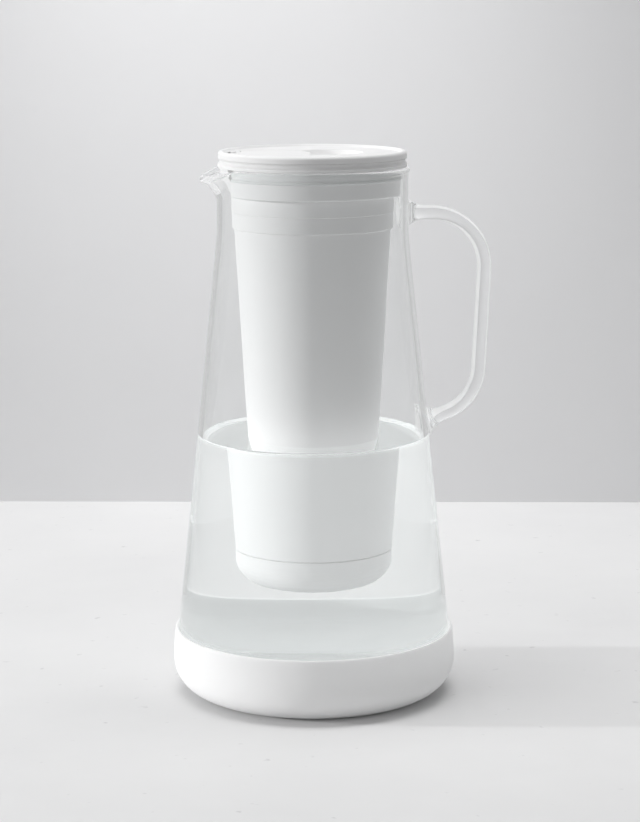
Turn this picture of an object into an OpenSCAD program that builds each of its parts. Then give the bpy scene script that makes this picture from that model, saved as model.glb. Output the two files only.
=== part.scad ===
// Glass water filter pitcher: blown vessel, soft boot, hanging reservoir with a hollow-fibre
// cartridge and a twist-off carbon capsule, and a lid with a flip-up hatch.
// Origin: centre of the base, on the table. +Z up, handle towards +X, spout towards -X.

/* [Glass vessel] */
// Height of the glass from its underside to its rim
glass_h = 258.2; // [230:1:300]
// Outer radius of the straight neck
neck_r = 46.8; // [44:0.2:56]
// Height of the neck, from the rim down to where the cone would start
neck_h = 32.2; // [28:1:60]
// Radius at which the cone would meet the base plane
foot_r = 70.9; // [64:0.5:90]
// Wall thickness
glass_wall = 2.6; // [2:0.1:4]
// Thickness of the vessel's floor
glass_floor_t = 4.5; // [3:0.5:8]
// Outer radius of the rounded heel
heel_r = 22; // [14:1:26]
// Inner radius of the rounded heel
heel_inner_r = 17; // [8:1:20]
// Radius of the soft bend between neck and cone
shoulder_r = 180; // [60:10:240]
// How far the fire-polished rim bulges out of the neck
rim_bulge = 0.7; // [0.2:0.1:1.2]

/* [Spout] */
// How far the spout's lip stands out from the neck
spout_reach = 8; // [4:0.2:14]
// How far the lip's tip lies below the rim
spout_drop = 3.2; // [0:0.2:6]
// Height of the pulled throat under the rim
spout_h = 16.2; // [12:0.2:20]
// Half of the angle of neck that the spout takes up
spout_half_angle = 34; // [20:1:50]

/* [Handle] */
// Radius of the glass rod
rod_r = 3.6; // [2.5:0.1:6]
// Distance from the vessel's axis to the grip's centreline at the top bend
handle_reach = 86.5; // [80:0.5:110]
// Drop from the rim to the upper arm's centreline
handle_drop = 23.3; // [20:0.5:40]
// Radius of the upper bend's centreline
upper_bend_r = 27.5; // [10:0.5:32]
// Radius of the lower bend's centreline
lower_bend_r = 24; // [10:0.5:30]
// Length of the straight grip
grip_l = 50; // [44:1:80]
// Inward lean of the grip, in degrees
grip_lean = 2.9; // [0:0.1:5]
// Slope of the lower arm below level, in degrees
lower_arm_slope = 19; // [15:1:40]
// How much the rod's radius grows where it is melted onto the wall
weld_r = 4; // [2:0.5:7]
// Length of rod over which it widens to a weld
weld_l = 9; // [5:0.5:12]

/* [Boot] */
// Height of the soft boot
boot_h = 32.6; // [26:1:45]
// Thickness under the glass
boot_floor_t = 4; // [3:0.5:8]
// Thickness of the upper edge
boot_lip_t = 1.5; // [1.2:0.1:2.8]
// How far the boot bulges out beyond its upper edge
boot_bulge = 1.1; // [0.5:0.1:3]
// Radius of the rounded lower corner
boot_corner_r = 17; // [12:1:20]

/* [Reservoir] */
// How far the flange's edge stays inside the rim's
flange_inset = 1.3; // [0.6:0.1:2]
// Thickness of the flange
flange_t = 2; // [1.5:0.1:3]
// Gap all round between the collar and the neck's inside
collar_gap = 1.2; // [0.8:0.1:2.5]
// Height of the wide collar
collar_h = 13.5; // [12.5:0.5:16]
// How far the second collar steps in from the first
step_in = 3.3; // [2.8:0.1:5]
// Height of the second collar
second_collar_h = 16.1; // [8:0.5:24]
// How far the cup steps in from the second collar
cup_step_in = 1.4; // [0.6:0.1:3]
// Wall thickness of the reservoir
cup_wall = 2; // [1.6:0.1:2.4]
// Draft of the cup's wall, in degrees
cup_draft = 3.26; // [1.5:0.1:3.6]
// Height of the cup's lower end above the table
split_z = 72; // [64:1:90]
// Height of the reservoir's floor above its lower end
floor_rise = 20; // [17:0.5:30]
// Thickness of the reservoir's floor
floor_t = 2.5; // [2:0.1:4]
// Half of the angle that the pour ramp takes up
ramp_half_angle = 17; // [8:1:26]
// How far the neck seal stands out of the collar
neck_seal_proud = 0.8; // [0.3:0.1:0.9]
// Height of the neck seal
neck_seal_h = 4.4; // [3:0.2:6]

/* [Cartridge] */
// Outer radius of the cartridge tube
tube_r = 19; // [16:0.5:24]
// Wall of the cartridge tube
tube_wall = 1.6; // [1.2:0.1:2.5]
// Length of the cartridge tube, between its shoulder and its cap
tube_l = 84; // [60:1:95]
// Outer radius of the spigot
spigot_r = 9.7; // [8:0.1:11.5]
// Length of the spigot
spigot_l = 11; // [9:0.5:16]
// Thickness of the cartridge's shoulder
shoulder_t = 3; // [2:0.5:5]
// Number of inlet slots round the tube
slot_count = 10; // [6:1:14]
// Width of an inlet slot
slot_w = 4; // [3:0.5:6]
// Radius of one bunch of hollow fibres
fibre_r = 1.25; // [0.8:0.05:1.6]
// Thickness of the potting resin
potting_t = 10; // [6:1:16]

/* [Capsule] */
// Height of the capsule's visible bowl
bowl_h = 17; // [12:1:20]
// Radius of the bowl's rounded lower edge
bowl_corner_r = 12; // [6:1:13]
// Wall thickness of the capsule
capsule_wall = 1.8; // [1.4:0.1:2.4]
// Water gap between the capsule and the reservoir's floor
outlet_gap = 2.4; // [2:0.1:3.5]
// Number of bayonet lugs
lug_count = 3; // [2:1:4]
// How far a lug stands out of the neck
lug_proud = 1; // [0.6:0.1:1.4]
// Height of a lug
lug_h = 2.6; // [2:0.2:4]
// Angle that a lug takes up
lug_angle = 14; // [8:1:20]
// Twist from locked to free, in degrees
twist_angle = 35; // [20:5:45]
// Number of outlet slots in the bowl's floor
outlet_count = 12; // [6:1:16]

/* [Lid] */
// How far the lid's edge stays inside the flange's
lid_inset = 0.2; // [0:0.1:1.2]
// Height of the upper shell's edge
lid_edge_h = 3.6; // [3:0.1:6]
// Height of the finger groove
groove_h = 2.2; // [1.8:0.1:4]
// Depth of the finger groove
groove_depth = 0.8; // [0.3:0.1:1.4]
// Depth of the dish in the lid's top
dish_depth = 1; // [0.4:0.1:1.6]
// Width of the lid's raised edge, down to the dish
dish_edge_w = 4; // [3:0.5:6]
// Radius of the finger scoop at the dish
scoop_r = 17; // [12:0.5:19]
// Depth of the finger scoop
scoop_depth = 7; // [4:0.5:9]
// Depth of the plug below the reservoir's mouth
plug_depth = 7.6; // [5:0.2:8]
// Wall of the plug
plug_wall = 1.8; // [1.4:0.1:2.4]
// Width of the ledge round the fill hole, under the hatch
ledge_w = 7.5; // [7.5:0.5:10]

/* [Hatch] */
// Radius of the hatch
flap_r = 21; // [18:0.5:21.5]
// Distance of the hinge from the lid's edge
hinge_inset = 8; // [7.5:0.5:10]
// Thickness of the hatch
flap_t = 2.2; // [1.6:0.1:2.4]
// Distance from the hatch's centre to its hinge
hinge_setback = 16; // [14:0.5:17]
// How far the hatch's tip reaches over the scoop
tip_overlap = 8; // [4:0.5:8]
// Radius of the hinge pin
pin_r = 1; // [0.7:0.1:1.1]
// Width of the hatch's knuckle
knuckle_w = 14; // [8:1:16]
// Width of each ear that holds the pin
ear_w = 3.6; // [2.4:0.2:4.4]

/* [Clearances] */
// Gap between parts that lift or turn past each other
free_gap = 0.3; // [0.25:0.05:0.5]
// Radial gap between the hinge pin and the knuckle
pin_gap = 0.05; // [0.02:0.01:0.1]
// Gap under the flange and other seats that part
seat_gap = 0.1; // [0.05:0.05:0.3]

/* [Hidden] */
$fn = 96;

// Levels of the glass
base_z = boot_floor_t;
rim_z = base_z + glass_h;
shoulder_z = rim_z - neck_h;
loft_z = rim_z - spout_h;
cone_angle = atan((foot_r - neck_r) / (shoulder_z - base_z));
neck_inner_r = neck_r - glass_wall;
rim_c = (glass_wall + rim_bulge) / 2;

// Levels of the reservoir
flange_r = neck_r + rim_bulge - flange_inset;
seat_z = rim_z + seat_gap;
flange_z = seat_z + flange_t;
collar_r = neck_inner_r - collar_gap;
collar_z = seat_z - collar_h;
second_r = collar_r - step_in;
cup_top_z = collar_z - second_collar_h;
cup_top_r = second_r - cup_step_in;
cup_low_r = cup_top_r - (cup_top_z - split_z) * tan(cup_draft);
floor_z = split_z + floor_rise;
slot_wall = cup_wall - 0.45;
skirt_bore_r = cup_low_r - slot_wall - lug_proud;
socket_z = floor_z + spigot_l;
socket_r = spigot_r + free_gap;
socket_wall = 2.5;
slot_room = 2;
seal_bed = 0.8;
flange_edge_low = 0.5;
flange_edge_high = 0.7;
collar_edge = 1;
second_edge = min(0.8, cup_step_in / 2);
// Fine step half-way up the second collar
ledge = 0.3;
ledge_z = cup_top_z + second_collar_h / 2;
// Bevel on each side of the seam between reservoir and capsule
seam_bevel = 0.4;
neck_seal_mid = seat_z - 1.4 - neck_seal_h / 2;
seal_half_angle = ramp_half_angle + 2;

// Levels of the cartridge
shoulder_top = socket_z + shoulder_t;
cap_z = shoulder_top + tube_l;
cap_t = 3;
potting_z = shoulder_top + 1;
spigot_wall = 2.6;
potting_top = potting_z + potting_t;
tube_bore_r = tube_r - tube_wall;

// Levels of the capsule
bowl_z = split_z - bowl_h;
bowl_top = split_z - seat_gap;
capsule_neck_r = skirt_bore_r - free_gap;
capsule_bore_r = capsule_neck_r - capsule_wall;
capsule_top = floor_z - outlet_gap;
capsule_seal_z = capsule_top - 2.2;
lug_z = split_z + 8;
cover_t = 2;
pad_t = 1.6;
slit_w = 2;
bowl_slit = [6, 14];
cover_slit = [8, 18];
// Drop from the bowl's rim to the sloped step inside it
bowl_step = 4;
bed_floor = bowl_z + capsule_wall;
bed_top = capsule_top - cover_t - pad_t;
bed_mid = split_z + 2;

// Levels of the lid
lid_r = flange_r - lid_inset;
lid_seat = flange_z;
plate_z = lid_seat + groove_h;
lid_top = plate_z + lid_edge_h;
dish_z = lid_top - dish_depth;
plug_r = collar_r - cup_wall - 2 * free_gap;
plug_z = lid_seat - plug_depth;
scoop_ball_r = (scoop_r * scoop_r + scoop_depth * scoop_depth) / (2 * scoop_depth);
scoop_ball_z = dish_z - scoop_depth + scoop_ball_r;
scoop_wall = 1.8;
plate_t = 1.8;
lid_seal_r = 1;
lid_seal_bed = 0.9;
lid_seal_z = lid_seat - plug_depth / 2;
hinge_x = hinge_inset - lid_r;
flap_x = -hinge_x - hinge_setback;
scoop_x = flap_r - flap_x - tip_overlap + scoop_r;
fill_hole_r = flap_r - ledge_w;
knuckle_r = pin_r + 0.65;
hinge_gap = 0.9;
hinge_z = dish_z - knuckle_r - 0.05;
flap_z = dish_z - flap_t;
pin_l = knuckle_w + 2 * free_gap + 2 * ear_w;
// The hatch's plate ends short of its hinge, and a tongue in the hinge's well carries it there
tongue_x = hinge_x + knuckle_r + free_gap;
tongue_l = 3;
hatch_edge_x = tongue_x + tongue_l;
// How far the plate's straight edge swings back while it rises past the lid's top
swing_back = hatch_edge_x - hinge_x - sqrt(pow(hatch_edge_x - hinge_x, 2) - pow(dish_z - hinge_z, 2));

eps = 0.01;

// Points of an arc in a lathe outline, from angle a0 to a1
function arc(c, r, a0, a1, n = 10) =
    [for (i = [0:n]) c + r * [cos(a0 + (a1 - a0) * i / n), sin(a0 + (a1 - a0) * i / n)]];

// Half outline of a disc from height z0 to z1 with rounded edges, 0 for a sharp one
function disc(r, z0, z1, low_r, high_r) = concat(
    [[0, z0]],
    low_r > 0 ? arc([r - low_r, z0 + low_r], low_r, -90, 0, 4) : [[r, z0]],
    high_r > 0 ? arc([r - high_r, z1 - high_r], high_r, 0, 90, 4) : [[r, z1]],
    [[0, z1]]
);

module round_disc(r, z0, z1, low_r, high_r) {
    rotate_extrude() polygon(disc(r, z0, z1, low_r, high_r));
}

// Smooth rise from 0 to 1
function ease(t) = t * t * (3 - 2 * t);

// Outline of the vessel, set in by a wall: heel, cone, soft shoulder, neck up to z_top
function vessel(inset, floor_z, heel, z_top) =
    let (
        a = cone_angle,
        line_r = foot_r - inset / cos(a) - (floor_z - base_z) * tan(a),
        heel_c = [line_r - heel * (1 + sin(a)) / cos(a), floor_z + heel],
        bend = shoulder_r + inset,
        bend_c = [neck_r - inset + bend, shoulder_z + shoulder_r * tan(a / 2)]
    )
    concat(
        [[0, floor_z]],
        arc(heel_c, heel, -90, a, 12),
        arc(bend_c, bend, 180 + a, 180, 8),
        [[neck_r - inset, z_top], [0, z_top]]
    );

module vessel_solid(inset, floor_z, heel, z_top) {
    rotate_extrude() polygon(vessel(inset, floor_z, heel, z_top));
}

// ---- Glass vessel -------------------------------------------------------------------------

// How strongly the spout pulls the wall at angle a from its middle
function pull(a) = abs(a) >= spout_half_angle ? 0 : ease(1 - abs(a) / spout_half_angle);

// Middle of the wall in the cut at angle a, from the loft's foot (t = 0) to the rim (t = 1)
function wall_mid(a, t) = [
    neck_r - glass_wall / 2 + spout_reach * pull(a) * pow(t, 1.7),
    loft_z + t * (spout_h - rim_c - spout_drop * pull(a))
];

// Direction of the wall there, 90 where it stands upright
function wall_heading(a, t) =
    let (d = wall_mid(a, t + 0.01) - wall_mid(a, t - 0.01)) atan2(d[1], d[0]);

// Point of the wall at a distance from its middle, positive outwards
function off_wall(a, t, d) =
    let (h = wall_heading(a, t)) wall_mid(a, t) + d * [sin(h), -cos(h)];

loft_steps = [0.2, 0.4, 0.6, 0.8];

// The loft's foot is a little thinner than the neck, so that it stands inside the neck's wall
foot_half = glass_wall / 2 - 0.15;
function foot_point(side, z) = [neck_r - glass_wall / 2 + side * foot_half, loft_z + z];
foot_low = -1;
foot_high = 0.2;

// Closed outline of the cut at angle a: up the outside, round the rolled rim, down the inside
function rim_section(a) = concat(
    [foot_point(1, foot_low), foot_point(1, foot_high)],
    [for (t = loft_steps) off_wall(a, t, glass_wall / 2)],
    let (turn = wall_heading(a, 1) - 90)
        arc(off_wall(a, 1, rim_c - glass_wall / 2), rim_c, turn - 50, turn + 170, 8),
    [for (i = [len(loft_steps) - 1:-1:0]) off_wall(a, loft_steps[i], -glass_wall / 2)],
    [foot_point(-1, foot_high), foot_point(-1, foot_low)]
);

// The rim's cuts are closer together at the spout
spout_cuts = 16;
neck_cuts = 48;
rim_angles = concat(
    [for (i = [0:spout_cuts]) (i * 2 / spout_cuts - 1) * spout_half_angle],
    [for (i = [1:neck_cuts - 1]) spout_half_angle + i * (360 - 2 * spout_half_angle) / neck_cuts]
);

module rim_loft() {
    n = len(rim_section(0));
    m = len(rim_angles);
    points = [for (a = rim_angles) for (p = rim_section(a)) [-p[0] * cos(a), p[0] * sin(a), p[1]]];
    faces = [for (i = [0:m - 1]) for (j = [0:n - 1])
        let (a = i * n + j, b = i * n + (j + 1) % n, c = ((i + 1) % m) * n + j,
             d = ((i + 1) % m) * n + (j + 1) % n)
        each [[a, c, b], [b, c, d]]];
    polyhedron(points, faces);
}

module glass_body() {
    color("lightcyan", 0.35) union() {
        difference() {
            vessel_solid(0, base_z, heel_r, loft_z);
            vessel_solid(glass_wall, base_z + glass_floor_t, heel_inner_r, loft_z + 1);
        }
        rim_loft();
    }
}

// ---- Glass handle -------------------------------------------------------------------------

upper_bend = min(upper_bend_r, handle_reach - neck_r - 12);
lower_bend = max(rod_r + 3, min(lower_bend_r, (handle_reach - foot_r) * 1.6));
arm_z = rim_z - handle_drop;
upper_c = [handle_reach - upper_bend, arm_z - upper_bend];
grip_top = upper_c + upper_bend * [cos(grip_lean), -sin(grip_lean)];
grip_low = grip_top - grip_l * [sin(grip_lean), cos(grip_lean)];
lower_c = grip_low + lower_bend * [-cos(grip_lean), sin(grip_lean)];
lower_turn = 90 - lower_arm_slope;
arm_start = lower_c + lower_bend * [cos(lower_turn), -sin(lower_turn)];
// Length of the lower arm, down to where its centreline meets the cone
arm_run = (arm_start[0] - neck_r - (shoulder_z - arm_start[1]) * tan(cone_angle))
    / (cos(lower_arm_slope) + sin(lower_arm_slope) * tan(cone_angle));
upper_run = upper_c[0] - neck_r;
// How far each end of the rod starts inside the wall's face, before it is trimmed to it
weld_in = 2.2;

// Extra radius at a distance from the wall, where the rod is melted on
function flare(s) = s >= weld_l ? 0 : weld_r * pow(1 - max(0, s) / weld_l, 2.4);

weld_steps = concat([-weld_in], [for (t = [0, 0.07, 0.16, 0.29, 0.47, 0.69, 1]) t * weld_l]);

// Rings of the rod as [x, z, heading, radius], from the neck round to the cone
rod_rings = concat(
    [for (s = weld_steps) if (s < upper_run - 1) [neck_r + s, arm_z, 0, rod_r + flare(s)]],
    [for (i = [0:9]) let (t = 90 - i * (90 + grip_lean) / 9)
        [upper_c[0] + upper_bend * cos(t), upper_c[1] + upper_bend * sin(t), t - 90, rod_r]],
    [for (i = [0:7]) let (t = -grip_lean - i * (lower_turn - grip_lean) / 7)
        [lower_c[0] + lower_bend * cos(t), lower_c[1] + lower_bend * sin(t), t - 90, rod_r]],
    [for (i = [len(weld_steps) - 1:-1:0]) let (s = weld_steps[i], d = arm_run - s) if (d > 1)
        [arm_start[0] - d * cos(lower_arm_slope), arm_start[1] - d * sin(lower_arm_slope),
         -180 + lower_arm_slope, rod_r + flare(s)]]
);

module handle_rod() {
    sides = 20;
    n = len(rod_rings);
    points = [for (r = rod_rings) for (i = [0:sides - 1]) let (t = i * 360 / sides)
        [r[0] - r[3] * cos(t) * sin(r[2]), r[3] * sin(t), r[1] + r[3] * cos(t) * cos(r[2])]];
    polyhedron(points, concat(
        [[for (i = [0:sides - 1]) i]],
        [for (k = [0:n - 2]) for (i = [0:sides - 1])
            let (a = k * sides + i, b = k * sides + (i + 1) % sides)
            each [[a, a + sides, b], [b, a + sides, b + sides]]],
        [[for (i = [sides - 1:-1:0]) (n - 1) * sides + i]]
    ));
}

module glass_handle() {
    color("lightcyan", 0.35) difference() {
        handle_rod();
        vessel_solid(0, base_z, heel_r, loft_z + spout_h / 2);
    }
}

// ---- Silicone boot ------------------------------------------------------------------------

boot_top_r = neck_r + (shoulder_z - boot_h) * tan(cone_angle) + boot_lip_t;
boot_r = boot_top_r + boot_bulge;
boot_side_h = boot_h - boot_corner_r;
boot_side_r = (boot_side_h * boot_side_h + pow(boot_r - boot_top_r, 2)) / (2 * (boot_r - boot_top_r));
boot_lip_r = 0.6;

module silicone_boot() {
    color("white") difference() {
        rotate_extrude() polygon(concat(
            [[0, 0]],
            arc([boot_r - boot_corner_r, boot_corner_r], boot_corner_r, -90, 0, 12),
            arc([boot_r - boot_side_r, boot_corner_r], boot_side_r,
                1, asin((boot_side_h - boot_lip_r) / boot_side_r), 5),
            arc([boot_top_r - boot_lip_r, boot_h - boot_lip_r], boot_lip_r, 30, 90, 4),
            [[0, boot_h]]
        ));
        vessel_solid(0, base_z, heel_r, loft_z);
    }
}

// ---- Reservoir ----------------------------------------------------------------------------

// Sector towards the spout, used to place the pour ramp
module spout_sector(half_angle, z0, z1) {
    rotate([0, 0, 180 - half_angle]) translate([0, 0, z0])
        rotate_extrude(angle = 2 * half_angle) square([flange_r + 5, z1 - z0]);
}

module pour_cone(inset) {
    translate([0, 0, collar_z])
        cylinder(r1 = second_r - inset, r2 = flange_r - flange_edge_low - inset, h = collar_h);
}

// Extra angle on each side of the ramp for its side walls, and by which the shapes there lap
ramp_margin = atan(cup_wall / second_r);
ramp_lap = 0.2;

module collar_shape() {
    difference() {
        round_disc(collar_r, collar_z, seat_z + flange_t / 2, collar_edge, 0);
        spout_sector(ramp_half_angle - ramp_lap, collar_z - 1, seat_z);
    }
    intersection() {
        pour_cone(0);
        spout_sector(ramp_half_angle, collar_z - 1, seat_z + 1);
    }
}

module collar_hollow() {
    z0 = collar_z + cup_wall;
    difference() {
        translate([0, 0, z0]) cylinder(r = collar_r - cup_wall, h = collar_h + flange_t);
        spout_sector(ramp_half_angle + ramp_margin, z0 - 1, seat_z);
    }
    intersection() {
        translate([0, 0, z0]) cylinder(r = collar_r - cup_wall, h = collar_h + flange_t);
        pour_cone(cup_wall);
        spout_sector(ramp_half_angle + ramp_margin + ramp_lap, z0 - 1, seat_z + 1);
    }
}

// Inside of the tapering cup, from the floor up into the second collar
module cup_hollow() {
    z0 = floor_z + floor_t;
    corner = 3;
    r0 = cup_low_r - cup_wall + (z0 - split_z) * tan(cup_draft);
    rotate_extrude() polygon(concat(
        [[0, z0]],
        arc([r0 - corner, z0 + corner], corner, -90, 0, 5),
        [
            [cup_top_r - cup_wall, cup_top_z + cup_wall],
            [second_r - cup_wall, cup_top_z + 2 * cup_wall],
            [second_r - cup_wall, seat_z],
            [0, seat_z]
        ]
    ));
}

// Piece of a ring through the wall of the skirt's bore, between two angles and two heights
module slot_ring(a0, a1, grow, z0, z1) {
    rotate([0, 0, a0]) translate([0, 0, z0]) rotate_extrude(angle = a1 - a0)
        translate([skirt_bore_r - 0.5 - grow, 0]) square([0.5 + lug_proud + 2 * grow, z1 - z0]);
}

// One L-shaped bayonet slot in the skirt: level run and way out at the bottom
module bayonet_slot(a) {
    start = -lug_angle / 2 - slot_room;
    level_z = lug_z - free_gap;
    rotate([0, 0, a]) difference() {
        slot_ring(start, start + twist_angle + lug_angle + 2 * slot_room, 0,
            split_z - 1, level_z + lug_h + 2 * free_gap);
        slot_ring(start - 1, start + twist_angle, 1, split_z - 2, level_z);
    }
}

// Second collar with its fine step, and the tapering cup below it
module cup_shape() {
    rotate_extrude() polygon(concat(
        [[0, cup_top_z]],
        arc([second_r - ledge - second_edge, cup_top_z + second_edge], second_edge, -90, 0, 4),
        [
            [second_r - ledge, ledge_z],
            [second_r, ledge_z + ledge],
            [second_r, collar_z + 1],
            [0, collar_z + 1]
        ]
    ));
    rotate_extrude() polygon([
        [0, split_z],
        [cup_low_r - seam_bevel, split_z],
        [cup_low_r + seam_bevel * tan(cup_draft), split_z + seam_bevel],
        [cup_top_r, cup_top_z],
        [0, cup_top_z]
    ]);
}

module reservoir_cup() {
    color("white") difference() {
        union() {
            round_disc(flange_r, seat_z, flange_z, flange_edge_low, flange_edge_high);
            collar_shape();
            cup_shape();
        }
        difference() {
            cup_hollow();
            translate([0, 0, floor_z]) cylinder(r = socket_r + socket_wall, h = spigot_l);
        }
        collar_hollow();
        translate([0, 0, split_z - 1]) cylinder(r = skirt_bore_r, h = floor_rise + 1);
        translate([0, 0, floor_z - 1]) cylinder(r = socket_r, h = spigot_l + 2);
        for (i = [0:lug_count - 1]) bayonet_slot(i * 360 / lug_count);
        difference() {
            seal_groove(collar_r, neck_seal_mid, neck_seal_h, seal_bed);
            seal_break();
        }
    }
}

// Ring-shaped groove cut into a round wall
module seal_groove(r, z_mid, h, depth) {
    translate([0, 0, z_mid - h / 2]) rotate_extrude() translate([r - depth, 0]) square([depth + 1, h]);
}

// Where the neck seal stops short of the pour ramp
module seal_break() {
    spout_sector(seal_half_angle, neck_seal_mid - neck_seal_h, neck_seal_mid + neck_seal_h);
}

// Soft ring with two rounded ribs, left open at the pour ramp
module neck_seal() {
    rib_r = neck_seal_proud;
    color("whitesmoke") difference() {
        translate([0, 0, neck_seal_mid]) rotate_extrude() {
            translate([collar_r - seal_bed, -neck_seal_h / 2]) square([seal_bed + 0.05, neck_seal_h]);
            for (s = [-1, 1]) translate([collar_r, s * (neck_seal_h / 2 - rib_r)]) intersection() {
                circle(rib_r, $fn = 32);
                translate([0, -rib_r]) square(2 * rib_r);
            }
        }
        seal_break();
    }
}

// ---- Microfilter cartridge ----------------------------------------------------------------

o_ring_r = 0.9;
cartridge_seal_z = floor_z + 4.5;

module membrane_housing() {
    slot_margin = 10;
    slot_z = potting_top + slot_margin;
    slot_l = cap_z - slot_margin - slot_z;
    color("gainsboro") difference() {
        union() {
            round_disc(spigot_r, floor_z + 1, socket_z + 1, 0.6, 0);
            round_disc(tube_r, socket_z + seat_gap, shoulder_top, 0.6, 0);
            translate([0, 0, shoulder_top - eps]) cylinder(r = tube_r, h = tube_l + eps);
        }
        translate([0, 0, shoulder_top]) cylinder(r = tube_bore_r, h = tube_l + 1);
        translate([0, 0, floor_z]) cylinder(r = spigot_r - spigot_wall, h = spigot_l + shoulder_t + 2);
        for (i = [0:slot_count - 1]) rotate([0, 0, i * 360 / slot_count])
            translate([tube_bore_r - 1, 0, slot_z]) inlet_slot(slot_l);
        translate([0, 0, cartridge_seal_z]) rotate_extrude() translate([spigot_r, 0]) circle(o_ring_r, $fn = 32);
    }
}

// Upright slot with round ends, cut outwards
module inlet_slot(l) {
    for (z = [0, l]) translate([0, 0, z]) rotate([0, 90, 0]) cylinder(d = slot_w, h = tube_wall + 3);
    translate([0, -slot_w / 2, 0]) cube([tube_wall + 3, slot_w, l]);
}

module membrane_cap() {
    rim = 3.5;
    loop_r = 7;
    loop_rod = 1.6;
    color("gainsboro") union() {
        round_disc(tube_r, cap_z, cap_z + cap_t, 0, 1);
        translate([0, 0, cap_z - rim]) difference() {
            cylinder(r = tube_bore_r - eps, h = rim + eps);
            translate([0, 0, -1]) cylinder(r = tube_bore_r - tube_wall, h = rim + 1);
        }
        translate([0, 0, cap_z + cap_t - 0.6]) rotate([90, 0, 0]) rotate_extrude(angle = 180)
            translate([loop_r, 0]) circle(loop_rod, $fn = 32);
    }
}

// Fibre bunches stand in rings: [ring radius, number of legs]
fibre_rings = [[tube_bore_r - fibre_r - 1.6, 16], [tube_bore_r - fibre_r * 3 - 4, 10]];

// A loop joins each leg to the one opposite its ring's neighbour
module fibre_loops(grow, z0, z1) {
    for (ring = fibre_rings) {
        step = 360 / ring[1];
        half_chord = ring[0] * sin(step / 2);
        for (i = [0:2:ring[1] - 1]) rotate([0, 0, i * step + step / 2]) {
            translate([ring[0] * cos(step / 2), 0, 0]) {
                for (s = [-1, 1]) translate([0, s * half_chord, z0]) cylinder(r = fibre_r + grow, h = z1 - z0, $fn = 32);
                if (grow == 0) translate([0, 0, z1]) rotate([90, 0, 90]) rotate_extrude(angle = 180)
                    translate([half_chord, 0]) circle(fibre_r, $fn = 32);
            }
        }
    }
}

module fibre_bundle() {
    color("ivory") fibre_loops(0, potting_z, cap_z - 14);
}

module potting_disc() {
    color("khaki") difference() {
        translate([0, 0, potting_z]) cylinder(r = tube_bore_r, h = potting_t);
        fibre_loops(0.001, potting_z - 1, potting_top + 1);
    }
}

module membrane_seal() {
    color("dimgray") translate([0, 0, cartridge_seal_z]) rotate_extrude() difference() {
        translate([spigot_r, 0]) circle(o_ring_r, $fn = 32);
        translate([spigot_r + 0.1, -o_ring_r]) square(2 * o_ring_r);
    }
}

// ---- Carbon and ion exchange capsule ------------------------------------------------------

// Lathe outline of the bowl, set in by a wall
function bowl(inset) =
    let (r = cup_low_r - inset, c = bowl_corner_r - inset, z = bowl_z + inset)
    concat([[0, z]], arc([r - c, z + c], c, -90, 0, 8));

// Inside of the capsule: the bowl, a sloped step in to the neck's bore, and up to z_top
module capsule_hollow(z_top) {
    step_z = split_z - bowl_step;
    rotate_extrude() polygon(concat(bowl(capsule_wall), [
        [cup_low_r - capsule_wall, step_z],
        [capsule_bore_r, step_z + cup_low_r - capsule_wall - capsule_bore_r],
        [capsule_bore_r, z_top],
        [0, z_top]
    ]));
}

module capsule_cup() {
    color("white") difference() {
        union() {
            rotate_extrude() polygon(concat(bowl(0), [
                [cup_low_r, bowl_top - seam_bevel],
                [cup_low_r - seam_bevel, bowl_top],
                [0, bowl_top]
            ]));
            round_disc(capsule_neck_r, split_z - 1, capsule_top, 0, 0.5);
            for (i = [0:lug_count - 1]) rotate([0, 0, i * 360 / lug_count - lug_angle / 2])
                translate([0, 0, lug_z]) rotate_extrude(angle = lug_angle)
                    translate([capsule_neck_r - 1, 0]) square([1 + lug_proud, lug_h]);
        }
        capsule_hollow(capsule_top + 1);
        for (i = [0:outlet_count - 1]) rotate([0, 0, i * 360 / outlet_count])
            translate([bowl_slit[0], -slit_w / 2, bowl_z - 1])
                cube([bowl_slit[1] - bowl_slit[0], slit_w, capsule_wall + 2]);
        translate([0, 0, capsule_seal_z]) rotate_extrude()
            translate([capsule_neck_r, 0]) circle(o_ring_r, $fn = 32);
    }
}

module capsule_seal() {
    color("dimgray") translate([0, 0, capsule_seal_z]) rotate_extrude() difference() {
        translate([capsule_neck_r, 0]) circle(o_ring_r, $fn = 32);
        translate([capsule_neck_r + 0.05, -o_ring_r]) square(2 * o_ring_r);
    }
}

module capsule_cover() {
    color("gainsboro") difference() {
        translate([0, 0, capsule_top - cover_t]) cylinder(r = capsule_bore_r, h = cover_t);
        for (i = [0:outlet_count - 1]) rotate([0, 0, i * 360 / outlet_count])
            translate([cover_slit[0], -slit_w / 2, capsule_top - cover_t - 1])
                cube([cover_slit[1] - cover_slit[0], slit_w, cover_t + 2]);
    }
}

module inlet_pad() {
    color("lightgray") translate([0, 0, bed_top]) cylinder(r = capsule_bore_r, h = pad_t);
}

// What the capsule's hollow holds between two levels
module filling(z0, z1) {
    intersection() {
        capsule_hollow(capsule_top);
        translate([0, 0, z0]) cylinder(r = cup_low_r + 1, h = z1 - z0);
    }
}

module carbon_bed() {
    color("black") filling(bed_mid + pad_t, bed_top);
}

module divider_pad() {
    color("lightgray") filling(bed_mid, bed_mid + pad_t);
}

module resin_bed() {
    color("sandybrown") filling(bed_floor + pad_t, bed_mid);
}

module outlet_pad() {
    color("lightgray") filling(bed_floor, bed_floor + pad_t);
}

// ---- Lid ----------------------------------------------------------------------------------

ear_mid = (knuckle_w + ear_w) / 2 + free_gap;

module scoop_ball(grow) {
    translate([scoop_x, 0, scoop_ball_z]) sphere(r = scoop_ball_r + grow);
}

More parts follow.
